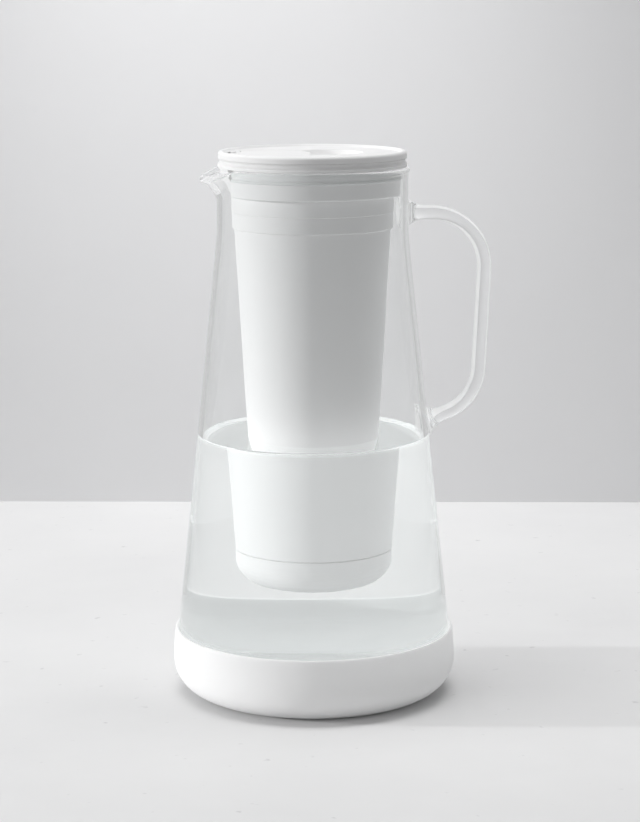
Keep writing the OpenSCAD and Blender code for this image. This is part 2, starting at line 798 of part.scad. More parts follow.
module lid_base() {
    groove_r = (groove_h * groove_h / 4 + groove_depth * groove_depth) / (2 * groove_depth);
    color("white") difference() {
        union() {
            difference() {
                translate([0, 0, lid_seat]) cylinder(r = lid_r, h = groove_h);
                translate([0, 0, lid_seat + groove_h / 2]) rotate_extrude()
                    translate([lid_r - groove_depth + groove_r, 0]) circle(groove_r);
                translate([0, 0, lid_seat - 1])
                    cylinder(r = plug_r - plug_wall, h = 1 + groove_h - plate_t);
            }
            translate([0, 0, plug_z]) difference() {
                round_disc(plug_r, 0, plug_depth + 0.5, 0.8, 0);
                translate([0, 0, -1]) cylinder(r = plug_r - plug_wall, h = plug_depth + 2);
            }
            intersection() {
                scoop_ball(scoop_wall);
                translate([0, 0, plug_z - 1]) cylinder(r = plug_r - 1, h = plate_z - plug_z + 1);
            }
            for (s = [-1, 1]) translate([hinge_x, s * ear_mid, 0]) ear();
        }
        scoop_ball(0);
        translate([-flap_x, 0, plug_z]) cylinder(r = fill_hole_r, h = plate_z - plug_z + 1);
        knuckle_pocket();
        hinge_bore(pin_r);
        seal_groove(plug_r, lid_seal_z, 2 * lid_seal_r, lid_seal_bed);
    }
}

// Upright ear beside the knuckle, rounded over the pin
module ear() {
    translate([0, ear_w / 2, hinge_z]) rotate([90, 0, 0]) cylinder(r = knuckle_r, h = ear_w);
    translate([-knuckle_r, -ear_w / 2, plate_z - 0.5]) cube([2 * knuckle_r, ear_w, hinge_z - plate_z + 0.5]);
}

module hinge_bore(r) {
    translate([hinge_x, pin_l / 2 + 1, hinge_z]) rotate([90, 0, 0]) cylinder(r = r, h = pin_l + 2);
}

// Room for the knuckle to turn in the plate
module knuckle_pocket() {
    r = knuckle_r + free_gap;
    w = knuckle_w + 2 * free_gap;
    translate([hinge_x, w / 2, hinge_z]) rotate([90, 0, 0]) cylinder(r = r, h = w);
}

module lid_cover() {
    edge_r = 1.4;
    land_w = 0.6;
    chamfer = 0.4;
    color("white") difference() {
        rotate_extrude() polygon(concat(
            [[0, plate_z], [lid_r - chamfer, plate_z], [lid_r, plate_z + chamfer]],
            arc([lid_r - edge_r, lid_top - edge_r], edge_r, 0, 90, 6),
            arc([lid_r - edge_r - land_w, lid_top - edge_r], edge_r, 90, 120, 3),
            [[lid_r - dish_edge_w, dish_z], [0, dish_z]]
        ));
        scoop_ball(0);
        hatch_opening();
    }
}

// Everything on the hinge's side of the level x, between two heights
module hinge_side(x, z0, z1) {
    translate([x - lid_r, -lid_r, z0]) cube([lid_r, 2 * lid_r, z1 - z0]);
}

// Opening for the hatch, and the well for its hinge
module hatch_opening() {
    h = lid_edge_h + 2;
    well_x = hinge_x - knuckle_r - hinge_gap;
    well_half = pin_l / 2 + free_gap;
    difference() {
        translate([-flap_x - swing_back / 2, 0, plate_z - 1])
            cylinder(r = flap_r + free_gap + swing_back / 2, h = h);
        hinge_side(hatch_edge_x - swing_back - free_gap, plate_z - 2, plate_z + h);
    }
    translate([well_x, -well_half, plate_z - 1]) cube([hatch_edge_x - well_x, 2 * well_half, h]);
}

module lid_seal() {
    color("whitesmoke") translate([0, 0, lid_seal_z]) rotate_extrude() {
        translate([plug_r - lid_seal_bed, -lid_seal_r]) square([lid_seal_bed, 2 * lid_seal_r]);
        translate([plug_r, 0]) intersection() {
            circle(free_gap, $fn = 32);
            translate([-0.01, -free_gap]) square(2 * free_gap);
        }
    }
}

module hinge_pin() {
    color("silver") translate([hinge_x, pin_l / 2, hinge_z]) rotate([90, 0, 0]) cylinder(r = pin_r, h = pin_l);
}

// Round hatch, hollowed over the fill hole, on a tongue with one knuckle
module flap() {
    recess = 0.8;
    web_w = 2;
    color("white") difference() {
        union() {
            difference() {
                translate([-flap_x, 0, 0]) round_disc(flap_r, flap_z, dish_z, 0, 0.4);
                hinge_side(hatch_edge_x, flap_z - 1, flap_z + flap_t + 1);
            }
            translate([tongue_x, -pin_l / 2, flap_z]) cube([tongue_l + 1, pin_l, flap_t]);
            translate([hinge_x, knuckle_w / 2, hinge_z]) rotate([90, 0, 0]) cylinder(r = knuckle_r, h = knuckle_w);
            translate([hinge_x, -knuckle_w / 2, hinge_z - 0.2])
                cube([knuckle_r + free_gap + 1, knuckle_w, dish_z - 0.05 - hinge_z + 0.2]);
        }
        hinge_bore(pin_r + pin_gap);
        difference() {
            translate([-flap_x, 0, flap_z - 1]) cylinder(r = fill_hole_r - 1, h = 1 + recess);
            hinge_side(tongue_x + web_w, flap_z - 2, flap_z + 2 * recess);
        }
    }
}

glass_body();
glass_handle();
silicone_boot();
reservoir_cup();
neck_seal();
membrane_housing();
membrane_cap();
fibre_bundle();
potting_disc();
membrane_seal();
capsule_cup();
capsule_cover();
inlet_pad();
carbon_bed();
divider_pad();
resin_bed();
outlet_pad();
capsule_seal();
lid_base();
lid_cover();
lid_seal();
hinge_pin();
flap();
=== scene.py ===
import math

import bmesh
import bpy
from mathutils import Matrix, Vector


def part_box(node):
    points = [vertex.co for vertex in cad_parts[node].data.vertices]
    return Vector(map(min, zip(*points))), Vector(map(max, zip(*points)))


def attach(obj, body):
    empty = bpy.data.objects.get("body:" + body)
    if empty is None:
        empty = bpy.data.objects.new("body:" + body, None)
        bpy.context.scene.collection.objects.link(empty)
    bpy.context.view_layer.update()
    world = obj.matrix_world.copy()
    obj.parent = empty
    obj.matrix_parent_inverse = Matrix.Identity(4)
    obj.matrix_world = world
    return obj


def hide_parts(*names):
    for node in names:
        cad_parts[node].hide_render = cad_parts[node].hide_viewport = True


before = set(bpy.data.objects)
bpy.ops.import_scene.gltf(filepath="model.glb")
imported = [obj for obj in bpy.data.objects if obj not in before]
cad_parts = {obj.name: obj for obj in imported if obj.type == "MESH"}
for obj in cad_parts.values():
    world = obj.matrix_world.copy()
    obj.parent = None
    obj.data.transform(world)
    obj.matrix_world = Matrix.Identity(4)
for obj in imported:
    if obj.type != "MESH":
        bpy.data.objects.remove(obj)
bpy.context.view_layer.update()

MM = 0.001

# ---- Table, backdrop, lamps and camera ----------------------------------------------------
# A pale plastered table with its back edge against a light grey wall. One small hard lamp
# stands low on the left, a broad soft one hangs overhead and weak soft ones stand at the
# sides. The room is dim, so that white sides turn grey towards the right.

# Degrees; the lens and its sensor in millimetres, all other lengths here in metres
VIEW_AZIMUTH = -10.0
CAMERA_LENS, SENSOR = 107.7, 36.0
CAMERA_DISTANCE, CAMERA_HEIGHT = 1.200, 0.3586
CAMERA_PITCH, CAMERA_YAW, CAMERA_ROLL = 10.27, 0.161, -0.157
WALL_BACK, WALL_TOP = 0.433, 0.9
TABLE_FRONT, SIDE_REACH = 0.3, 0.45
# How far to the sides the wall shows through glass; beyond it glass sees the pale room
WALL_THROUGH_GLASS = 0.25
# How much nearer the wall comes per metre to the right
WALL_TURN = 0.023
# The hard lamp's height and width in degrees, and how far off it is drawn
KEY_HEIGHT, KEY_WIDTH, KEY_DISTANCE, KEY_POWER = 9.5, 1.2, 3, 1.82
# Soft lamps: place and aim (right, away, up), power, width and height
SOFT_LAMPS = {
    "overhead_box": ((0, 0.1, 2.2), (0, 0.1, 0), 30.0, 1.8, 0.8),
    "left_box": ((-1.5, 0.05, 0.45), (0, 0, 0.15), 2.8, 1.0, 0.8),
    "corner_box": ((-1.15, -1.0, 0.40), (0, 0, 0.13), 4.8, 0.8, 0.8),
    "right_box": ((1.5, -0.2, 0.35), (0, 0, 0.1), 3.1, 0.9, 0.7),
}
# The spot that brightens the wall, its spread in degrees
WASH_PLACE, WASH_AIM = (-0.115, -0.016, 0.598), (-0.044, WALL_BACK, 0.366)
WASH_POWER, WASH_SPREAD, WASH_RADIUS = 6.1, 70.5, 0.1
# The room as it is seen, as it lights the scene, and the share of the first in reflections
ROOM_SHOWN, ROOM_FILL, ROOM_MIRRORED = (0.78, 0.785, 0.785), (0.19, 0.19, 0.192), 0.6


def across(azimuth):
    """Unit vectors to the right of and away from a viewer who looks along that azimuth."""
    a = math.radians(azimuth)
    return Vector((math.cos(a), math.sin(a), 0)), Vector((-math.sin(a), math.cos(a), 0))


right, away = across(VIEW_AZIMUTH)


def new_material(name):
    """A node material with only a Principled BSDF. Returns (material, node tree, shader)."""
    mat = bpy.data.materials.new(name)
    mat.use_nodes = True
    tree = mat.node_tree
    tree.nodes.clear()
    out = tree.nodes.new("ShaderNodeOutputMaterial")
    shader = tree.nodes.new("ShaderNodeBsdfPrincipled")
    tree.links.new(shader.outputs[0], out.inputs["Surface"])
    return mat, tree, shader


def node_of(mat, kind):
    """The material's first node of a kind."""
    return next(n for n in mat.node_tree.nodes if n.type == kind)


def object_coords(tree, scale=(1, 1, 1)):
    """Object coordinates through a Mapping node, in metres before the scale."""
    coords = tree.nodes.new("ShaderNodeTexCoord")
    mapping = tree.nodes.new("ShaderNodeMapping")
    mapping.inputs["Scale"].default_value = scale
    tree.links.new(coords.outputs["Object"], mapping.inputs["Vector"])
    return mapping.outputs[0]


def add_noise(tree, vector, scale, detail=3.0, roughness=0.5):
    noise = tree.nodes.new("ShaderNodeTexNoise")
    noise.inputs["Scale"].default_value = scale
    noise.inputs["Detail"].default_value = detail
    noise.inputs["Roughness"].default_value = roughness
    tree.links.new(vector, noise.inputs["Vector"])
    return noise.outputs["Fac"]


def add_range(tree, value, low, high, from_low=0.3, from_high=0.7):
    """Maps a value to a range, clamped at both ends."""
    ranged = tree.nodes.new("ShaderNodeMapRange")
    for name, number in (("From Min", from_low), ("From Max", from_high),
                         ("To Min", low), ("To Max", high)):
        ranged.inputs[name].default_value = number
    tree.links.new(value, ranged.inputs["Value"])
    return ranged.outputs[0]


def add_mix(tree, factor, a, b):
    """Mix of two plain colours, or of sockets, by a factor socket."""
    mix = tree.nodes.new("ShaderNodeMix")
    mix.data_type = "RGBA"
    tree.links.new(factor, mix.inputs["Factor"])
    for socket, colour in ((mix.inputs[6], a), (mix.inputs[7], b)):
        if isinstance(colour, bpy.types.NodeSocket):
            tree.links.new(colour, socket)
        else:
            socket.default_value = (*colour, 1)
    return mix.outputs[2]


def add_math(tree, operation, *values, clamp=False):
    """A Math node on plain numbers or sockets."""
    node = tree.nodes.new("ShaderNodeMath")
    node.operation, node.use_clamp = operation, clamp
    for socket, value in zip(node.inputs, values):
        if isinstance(value, bpy.types.NodeSocket):
            tree.links.new(value, socket)
        else:
            socket.default_value = value
    return node.outputs[0]


def mix_shaders(tree, *factor_and_shaders):
    """A Mix Shader node from three sockets: its factor and its two shaders."""
    mix = tree.nodes.new("ShaderNodeMixShader")
    for socket, source in zip(mix.inputs, factor_and_shaders):
        tree.links.new(source, socket)
    return mix.outputs[0]


# Edges that turn by more than this are shaded sharp
SHARP = math.radians(40)


def mesh_piece(name, points, faces, smooth=True):
    """A mesh object from points in metres, with outward faces and its sharp edges marked."""
    mesh = bpy.data.meshes.new(name)
    mesh.from_pydata(points, [], faces)
    mesh.validate()
    bm = bmesh.new()
    bm.from_mesh(mesh)
    bmesh.ops.recalc_face_normals(bm, faces=bm.faces)
    bm.to_mesh(mesh)
    bm.free()
    if smooth:
        mesh.shade_smooth()
        mesh.set_sharp_from_angle(angle=SHARP)
    else:
        mesh.shade_flat()
    made = bpy.data.objects.new(name, mesh)
    bpy.context.scene.collection.objects.link(made)
    return made


def plaster_material(name, base, lighter, darker, fleck):
    """Matt plaster: broad mottling, trowel streaks and small flecks."""
    mat, tree, shader = new_material(name)
    coords = object_coords(tree)
    broad = add_noise(tree, coords, scale=4.0, detail=5.0, roughness=0.6)
    streaks = add_noise(tree, object_coords(tree, (18, 60, 18)), scale=1.0, detail=4.0, roughness=0.6)
    specks = add_noise(tree, coords, scale=130.0, detail=2.0)
    tone = add_mix(tree, add_range(tree, broad, 0, 1), darker, lighter)
    tone = add_mix(tree, add_range(tree, streaks, 0, 0.5, 0.5, 0.8), tone, base)
    flecks = add_range(tree, specks, 0, 1, 0.70, 0.78)
    tree.links.new(add_mix(tree, flecks, tone, fleck), shader.inputs["Base Color"])
    shader.inputs["Roughness"].default_value = 0.85
    shader.inputs["Specular IOR Level"].default_value = 0.2
    return mat


def stage_plane(name, corners, material):
    plane = mesh_piece(name, corners, [tuple(range(len(corners)))], smooth=False)
    plane.data.materials.append(material)
    return plane


table_mat = plaster_material(
    "table_plaster", base=(0.76, 0.76, 0.76), lighter=(0.79, 0.79, 0.79), darker=(0.73, 0.73, 0.733),
    fleck=(0.62, 0.62, 0.625))
wall_mat = plaster_material(
    "wall_paint", base=(0.76, 0.76, 0.768), lighter=(0.77, 0.77, 0.778), darker=(0.75, 0.75, 0.758),
    fleck=(0.76, 0.76, 0.768))


def wall_at(x):
    """How far away the wall stands at a distance to the right."""
    return WALL_BACK - WALL_TURN * x


table_corners = [right * x + away * y for x, y in (
    (-SIDE_REACH, -TABLE_FRONT), (SIDE_REACH, -TABLE_FRONT),
    (SIDE_REACH, wall_at(SIDE_REACH)), (-SIDE_REACH, wall_at(-SIDE_REACH)))]
stage_plane("table", [tuple(c) for c in table_corners], table_mat)

wall_corners = [right * x + away * wall_at(x) + Vector((0, 0, z)) for x, z in (
    (-SIDE_REACH, 0), (SIDE_REACH, 0), (SIDE_REACH, WALL_TOP), (-SIDE_REACH, WALL_TOP))]
wall = stage_plane("wall", [tuple(c) for c in wall_corners], wall_mat)


def open_from_behind(mat, faces_viewer):
    """Lets a viewer behind the wall see through it: its back face is clear. Its far sides are
    clear for what is seen through glass."""
    tree = mat.node_tree
    clear = tree.nodes.new("ShaderNodeBsdfTransparent").outputs[0]
    to_side = tree.nodes.new("ShaderNodeVectorMath")
    to_side.operation = "DOT_PRODUCT"
    to_side.inputs[1].default_value = right
    tree.links.new(object_coords(tree), to_side.inputs[0])
    beyond = add_math(tree, "GREATER_THAN", add_math(tree, "ABSOLUTE", to_side.outputs["Value"]),
                      WALL_THROUGH_GLASS)
    through_glass = tree.nodes.new("ShaderNodeLightPath").outputs["Is Transmission Ray"]
    front = mix_shaders(tree, add_math(tree, "MULTIPLY", beyond, through_glass),
                        node_of(mat, "BSDF_PRINCIPLED").outputs[0], clear)
    behind = tree.nodes.new("ShaderNodeNewGeometry").outputs["Backfacing"]
    sides = (front, clear) if faces_viewer else (clear, front)
    tree.links.new(mix_shaders(tree, behind, *sides), node_of(mat, "OUTPUT_MATERIAL").inputs["Surface"])


open_from_behind(wall_mat, faces_viewer=wall.data.polygons[0].normal.dot(away) < 0)


def add_lamp(name, kind, place, aim, power, size, size_y=None):
    """A lamp at a place in the viewer's frame (right, away, up), aimed at another place there.
    A sun's or a spot's size is an angle."""
    data = bpy.data.lights.new(name, kind)
    data.energy = power
    if kind == "AREA":
        data.shape = "RECTANGLE"
        data.size, data.size_y = size, size_y
    elif kind == "SUN":
        data.angle = size
    elif kind == "SPOT":
        data.spot_size, data.spot_blend, data.shadow_soft_size = size, 1.0, WASH_RADIUS
    lamp = bpy.data.objects.new(name, data)
    at, to = (right * p[0] + away * p[1] + Vector((0, 0, p[2])) for p in (place, aim))
    lamp.matrix_world = Matrix.Translation(at) @ (to - at).to_track_quat("-Z", "Y").to_matrix().to_4x4()
    lamp.visible_camera = lamp.visible_transmission = lamp.visible_glossy = False
    bpy.context.scene.collection.objects.link(lamp)


key_rise = math.radians(KEY_HEIGHT)
key_from = (-math.cos(key_rise) * KEY_DISTANCE, 0, math.sin(key_rise) * KEY_DISTANCE)
add_lamp("key_lamp", "SUN", key_from, (0, 0, 0), KEY_POWER, math.radians(KEY_WIDTH))
for name, (place, aim, power, width, height) in SOFT_LAMPS.items():
    add_lamp(name, "AREA", place, aim, power, width, height)
add_lamp("wall_wash", "SPOT", WASH_PLACE, WASH_AIM, WASH_POWER, math.radians(WASH_SPREAD))

world = bpy.data.worlds.new("room")
bpy.context.scene.world = world
world.use_nodes = True
room = world.node_tree
room.nodes.clear()
shown, fill = room.nodes.new("ShaderNodeBackground"), room.nodes.new("ShaderNodeBackground")
shown.inputs["Color"].default_value = (*ROOM_SHOWN, 1)
fill.inputs["Color"].default_value = (*ROOM_FILL, 1)
rays = room.nodes.new("ShaderNodeLightPath").outputs
seen = rays["Is Camera Ray"]
for ray, share in (("Is Transmission Ray", 1.0), ("Is Glossy Ray", ROOM_MIRRORED)):
    seen = add_math(room, "MULTIPLY_ADD", rays[ray], share, seen, clamp=True)
room_out = room.nodes.new("ShaderNodeOutputWorld")
room.links.new(mix_shaders(room, seen, fill.outputs[0], shown.outputs[0]), room_out.inputs["Surface"])

camera_data = bpy.data.cameras.new("camera")
camera_data.lens, camera_data.sensor_width = CAMERA_LENS, SENSOR
camera = bpy.data.objects.new("camera", camera_data)
bpy.context.scene.collection.objects.link(camera)
eye = -away * CAMERA_DISTANCE + Vector((0, 0, CAMERA_HEIGHT))
turn = math.radians(VIEW_AZIMUTH - CAMERA_YAW)
camera.matrix_world = (
    Matrix.Translation(eye) @ Matrix.Rotation(turn, 4, "Z")
    @ Matrix.Rotation(math.radians(90 - CAMERA_PITCH), 4, "X")
    @ Matrix.Rotation(math.radians(CAMERA_ROLL), 4, "Z"))
bpy.context.scene.camera = camera
bpy.context.scene.view_settings.view_transform = "Standard"

# ---- Glass vessel and handle --------------------------------------------------------------
# Blown borosilicate glass with a fire-polished rim and a pulled spout. The handle is a bent
# rod of the same glass whose ends are melted onto the wall, so that both are one piece.

# Millimetres, from here on
GLASS_WALL, GLASS_FLOOR = 2.6, 4.5
NECK_R, NECK_H, FOOT_R = 46.8, 32.2, 70.9
HEEL_R, HEEL_INNER_R, SHOULDER_R = 22.0, 17.0, 180.0
RIM_BULGE = 0.7
# The spout's half width in degrees, and how late on its way up it leans out
SPOUT_REACH, SPOUT_DROP, SPOUT_H, SPOUT_HALF, SPOUT_LEAN = 8.0, 3.2, 16.2, 34.0, 1.7
# The bead at the rim runs between these angles from the wall's outer side
BEAD_START, BEAD_END = -52, 170
# Points round the axis and along each curve
AROUND, HEEL_STEPS, SHOULDER_STEPS, THROAT_STEPS, BEAD_STEPS = 240, 20, 14, 12, 18
# Where rings stand along the cone, close to its ends so that its wall shades straight
CONE_RINGS = (0.005, 0.1, 0.2, 0.3, 0.4, 0.5, 0.6, 0.7, 0.8, 0.9, 0.995)

glass_low, glass_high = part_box("glass_body")
base_z, rim_z = glass_low.z / MM, glass_high.z / MM
shoulder_z, loft_z = rim_z - NECK_H, rim_z - SPOUT_H
cone_angle = math.atan((FOOT_R - NECK_R) / (shoulder_z - base_z))
rim_c = (GLASS_WALL + RIM_BULGE) / 2


def arc(centre, radius, start, end, steps):
    """Points [r, z] of an arc between two angles in degrees."""
    turns = (math.radians(start + (end - start) * i / steps) for i in range(steps + 1))
    return [(centre[0] + radius * math.cos(t), centre[1] + radius * math.sin(t)) for t in turns]


def vessel_outline(inset, floor_z, heel):
    """Half outline of the vessel below its neck, set in by a wall: floor, heel, cone and soft
    shoulder, in mm from the axis outward and up."""
    tilt = math.degrees(cone_angle)
    line_r = FOOT_R - inset / math.cos(cone_angle) - (floor_z - base_z) * math.tan(cone_angle)
    heel_c = (line_r - heel * (1 + math.sin(cone_angle)) / math.cos(cone_angle), floor_z + heel)
    bend = SHOULDER_R + inset
    bend_c = (NECK_R - inset + bend, shoulder_z + SHOULDER_R * math.tan(cone_angle / 2))
    low = arc(heel_c, heel, -90, tilt, HEEL_STEPS)
    high = arc(bend_c, bend, 180 + tilt, 180, SHOULDER_STEPS)
    (r0, z0), (r1, z1) = low[-1], high[0]
    cone = [(r0 + (r1 - r0) * t, z0 + (z1 - z0) * t) for t in CONE_RINGS]
    return [(0, floor_z), (low[0][0] * 0.5, floor_z), (low[0][0] * 0.99, floor_z)] + low + cone + high


def pull(angle):
    """How strongly the spout draws the wall out, at an angle in degrees from its middle."""
    t = max(0.0, 1 - abs(angle) / SPOUT_HALF)
    return t * t * (3 - 2 * t)


def wall_middle(angle, t):
    """Middle of the wall from the throat (t = 0) to the rim (t = 1)."""
    drawn = pull(angle)
    return (NECK_R - GLASS_WALL / 2 + SPOUT_REACH * drawn * max(t, 0) ** SPOUT_LEAN,
            loft_z + t * (SPOUT_H - rim_c - SPOUT_DROP * drawn))


def rim_outline(angle):
    """The cut through throat and rolled rim: up the outside, over the bead, down the inside."""
    def heading(t):
        a, b = wall_middle(angle, t - 0.01), wall_middle(angle, t + 0.01)
        return math.atan2(b[1] - a[1], b[0] - a[0])

    def beside(t, distance):
        h, middle = heading(t), wall_middle(angle, t)
        return middle[0] + distance * math.sin(h), middle[1] - distance * math.cos(h)

    steps = [i / THROAT_STEPS for i in range(THROAT_STEPS - 1)]
    lean = math.degrees(heading(1)) - 90
    bead = arc(beside(1, rim_c - GLASS_WALL / 2), rim_c, lean + BEAD_START, lean + BEAD_END, BEAD_STEPS)
    return ([beside(t, GLASS_WALL / 2) for t in steps] + bead
            + [beside(t, -GLASS_WALL / 2) for t in reversed(steps)])


def lathe(name, outline_at):
    """Closed mesh round the axis. outline_at(angle) gives the half outline in mm at an angle
    from the spout's middle, its first and last points on the axis."""
    angles = [i / AROUND * 360 - 180 for i in range(AROUND)]
    cuts = [outline_at(angle) for angle in angles]
    ring = len(cuts[0]) - 2
    points, faces = [], []
    for angle, cut in zip(angles, cuts):
        turn = math.radians(angle)
        points += [(-r * math.cos(turn) * MM, r * math.sin(turn) * MM, z * MM) for r, z in cut[1:-1]]
    low, high = len(points), len(points) + 1
    points += [(0, 0, cuts[0][0][1] * MM), (0, 0, cuts[0][-1][1] * MM)]
    for i in range(AROUND):
        a, b = i * ring, (i + 1) % AROUND * ring
        faces += [(a + j, b + j, b + j + 1, a + j + 1) for j in range(ring - 1)]
        faces += [(low, b, a), (high, a + ring - 1, b + ring - 1)]
    return mesh_piece(name, points, faces)


outer = vessel_outline(0, base_z, HEEL_R)
inner = vessel_outline(GLASS_WALL, base_z + GLASS_FLOOR, HEEL_INNER_R)
vessel = lathe("glass_vessel", lambda angle: outer + rim_outline(angle) + inner[::-1])

ROD_R = 3.6
HANDLE_REACH, HANDLE_DROP = 86.48, 23.3
UPPER_BEND, LOWER_BEND = 27.5, 24.0
GRIP_L, GRIP_LEAN, LOWER_SLOPE = 50.0, 2.9, 19.0
# The welds' flare, how far along the rod it reaches and how far the rod sinks into the wall,
# and how fast the flare dies away
WELD_R, WELD_L, WELD_IN, WELD_FALL = 4.0, 9.0, 1.6, 2.4
ROD_SIDES, UPPER_STEPS, LOWER_STEPS, WELD_STEPS = 40, 18, 14, 12
# Above 1, rings crowd towards the wall
WELD_CROWDING = 1.4


def turned(centre, radius, angle):
    """A point on a bend's centreline and the rod's heading there, in degrees from +X."""
    t = math.radians(angle)
    return centre[0] + radius * math.cos(t), centre[1] + radius * math.sin(t), angle - 90


def flare(distance):
    """Extra radius of the rod at a distance from the wall that it is melted onto."""
    return 0.0 if distance >= WELD_L else WELD_R * (1 - max(0, distance) / WELD_L) ** WELD_FALL


def bend_rings(centre, radius, start, end, steps):
    """The rod's rings round a bend between two angles: x, z, heading and radius."""
    turns = (start + (end - start) * i / steps for i in range(steps + 1))
    return [(*turned(centre, radius, angle), ROD_R) for angle in turns]


arm_z = rim_z - HANDLE_DROP
upper_c = (HANDLE_REACH - UPPER_BEND, arm_z - UPPER_BEND)
lean_r = math.radians(GRIP_LEAN)
grip_top = (upper_c[0] + UPPER_BEND * math.cos(lean_r), upper_c[1] - UPPER_BEND * math.sin(lean_r))
grip_low = (grip_top[0] - GRIP_L * math.sin(lean_r), grip_top[1] - GRIP_L * math.cos(lean_r))
lower_c = (grip_low[0] - LOWER_BEND * math.cos(lean_r), grip_low[1] + LOWER_BEND * math.sin(lean_r))
lower_turn = 90 - LOWER_SLOPE
arm_x, arm_low_z = turned(lower_c, LOWER_BEND, -lower_turn)[:2]
slope_r = math.radians(LOWER_SLOPE)
arm_run = ((arm_x - NECK_R - (shoulder_z - arm_low_z) * math.tan(cone_angle))
           / (math.cos(slope_r) + math.sin(slope_r) * math.tan(cone_angle)))

near_wall = [-WELD_IN, 0] + [
    WELD_L * (i / WELD_STEPS) ** WELD_CROWDING for i in range(1, WELD_STEPS + 1)]
rings = [(NECK_R + d, arm_z, 0, ROD_R + flare(d)) for d in near_wall]
rings += bend_rings(upper_c, UPPER_BEND, 90, -GRIP_LEAN, UPPER_STEPS)
rings += bend_rings(lower_c, LOWER_BEND, -GRIP_LEAN, -lower_turn, LOWER_STEPS)
for d in reversed(near_wall):
    run = arm_run - d
    rings.append((arm_x - run * math.cos(slope_r), arm_low_z - run * math.sin(slope_r),
                  LOWER_SLOPE - 180, ROD_R + flare(d)))
rod_points = []
for x, z, heading, radius in rings:
    h = math.radians(heading)
    for i in range(ROD_SIDES):
        t = 2 * math.pi * i / ROD_SIDES
        rod_points.append(((x - radius * math.cos(t) * math.sin(h)) * MM, radius * math.sin(t) * MM,
                           (z + radius * math.cos(t) * math.cos(h)) * MM))
rod_faces = [(k * ROD_SIDES + i, k * ROD_SIDES + (i + 1) % ROD_SIDES,
              (k + 1) * ROD_SIDES + (i + 1) % ROD_SIDES, (k + 1) * ROD_SIDES + i)
             for k in range(len(rings) - 1) for i in range(ROD_SIDES)]
rod_faces += [tuple(range(ROD_SIDES)), tuple((len(rings) - 1) * ROD_SIDES + i for i in range(ROD_SIDES))]
rod = mesh_piece("handle_rod", rod_points, rod_faces)

# Both are joined as one mesh, with no wall left inside the welds
melt = vessel.modifiers.new("melt", "BOOLEAN")
melt.operation, melt.solver, melt.object = "UNION", "EXACT", rod
melted = vessel.evaluated_get(bpy.context.evaluated_depsgraph_get())
melted_mesh = bpy.data.meshes.new_from_object(melted)
vessel.modifiers.clear()
vessel.data = melted_mesh
bpy.data.objects.remove(rod)
vessel.data.shade_smooth()


def add_bump(tree, shader, height, distance):
    bump = tree.nodes.new("ShaderNodeBump")
    bump.inputs["Distance"].default_value = distance
    tree.links.new(height, bump.inputs["Height"])
    tree.links.new(bump.outputs[0], shader.inputs["Normal"])


# After so many turns or mirrorings a ray leaves glass straight on, and picks up this much painted glow,
# which stands in for the light trapped inside
DEEP_RAY, DEEP_MIRROR, PAINTED_TRAPPED_GLOW = 5.5, 0.5, 0.05


def let_lamps_through(mat, shadow_tint, fill_tint, painted_gathered_glow=0.0):
    """Glass or water passes the lamps' light and bounced light straight on, each tinted. A painted
    glow, which stands in for light that it would gather from its own reflections, is added to what
    bounced light finds. A ray that has been turned many times inside goes straight out and picks up
    a painted glow in place of the light trapped there."""
    tree = mat.node_tree
    rays = tree.nodes.new("ShaderNodeLightPath").outputs
    shadow_clear = tree.nodes.new("ShaderNodeBsdfTransparent")
    shadow_clear.inputs["Color"].default_value = (*shadow_tint, 1)
    fill_clear = tree.nodes.new("ShaderNodeBsdfTransparent")
    fill_clear.inputs["Color"].default_value = (*fill_tint, 1)
    # Painted glow: the surface gives off light of its own, for bounced light and for rays turned many
    # times
    glow = tree.nodes.new("ShaderNodeEmission")
    strength = add_range(tree, rays["Is Diffuse Ray"], PAINTED_TRAPPED_GLOW, painted_gathered_glow, 0, 1)
    tree.links.new(strength, glow.inputs["Strength"])
    fill = tree.nodes.new("ShaderNodeAddShader")
    tree.links.new(fill_clear.outputs[0], fill.inputs[0])
    tree.links.new(glow.outputs[0], fill.inputs[1])
    not_shadow = add_math(tree, "SUBTRACT", 1, rays["Is Shadow Ray"])
    straight = mix_shaders(tree, not_shadow, shadow_clear.outputs[0], fill.outputs[0])
    factor = rays["Is Shadow Ray"]
    for name, limit in (("Is Diffuse Ray", 0.5), ("Ray Depth", DEEP_RAY), ("Glossy Depth", DEEP_MIRROR)):
        factor = add_math(tree, "MAXIMUM", factor, add_math(tree, "GREATER_THAN", rays[name], limit))
    surface = mix_shaders(tree, factor, node_of(mat, "BSDF_PRINCIPLED").outputs[0], straight)
    tree.links.new(surface, node_of(mat, "OUTPUT_MATERIAL").inputs["Surface"])
    mat.cycles.emission_sampling = "NONE"


glass_mat, tree, shader = new_material("borosilicate_glass")
coords = object_coords(tree)
shader.inputs["Base Color"].default_value = (0.984, 0.988, 0.987, 1)
shader.inputs["Transmission Weight"].default_value = 1.0
shader.inputs["IOR"].default_value = 1.47
smudges = add_noise(tree, coords, scale=38.0)
tree.links.new(add_range(tree, smudges, 0.0, 0.02, 0.5, 0.8), shader.inputs["Roughness"])
ripple = add_noise(tree, object_coords(tree, (1, 1, 0.35)), scale=42.0, detail=1.0, roughness=0.4)
add_bump(tree, shader, ripple, 0.25 * MM)
let_lamps_through(glass_mat, (0.985, 0.99, 0.99), (0.985, 0.99, 0.99))
vessel.data.materials.clear()
vessel.data.materials.append(glass_mat)
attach(vessel, "pitcher")
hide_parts("glass_body", "glass_handle")

# ---- Silicone boot ------------------------------------------------------------------------
# A soft white silicone sleeve, moulded in one piece and stretched over the foot of the glass.
# Its rounded lip grips the cone, and its flat underside keeps the glass off the table.

BOOT_CORNER_R, BOOT_BULGE, BOOT_GAP = 17.0, 1.1, 0.12
# The lip's thickness, its outer and inner rounding, and where the fit to the glass ends
BOOT_LIP_T, LIP_OUTER_R, LIP_INNER_R, LIP_INSET, LIP_DEPTH = 1.5, 0.6, 0.4, 0.45, 0.8
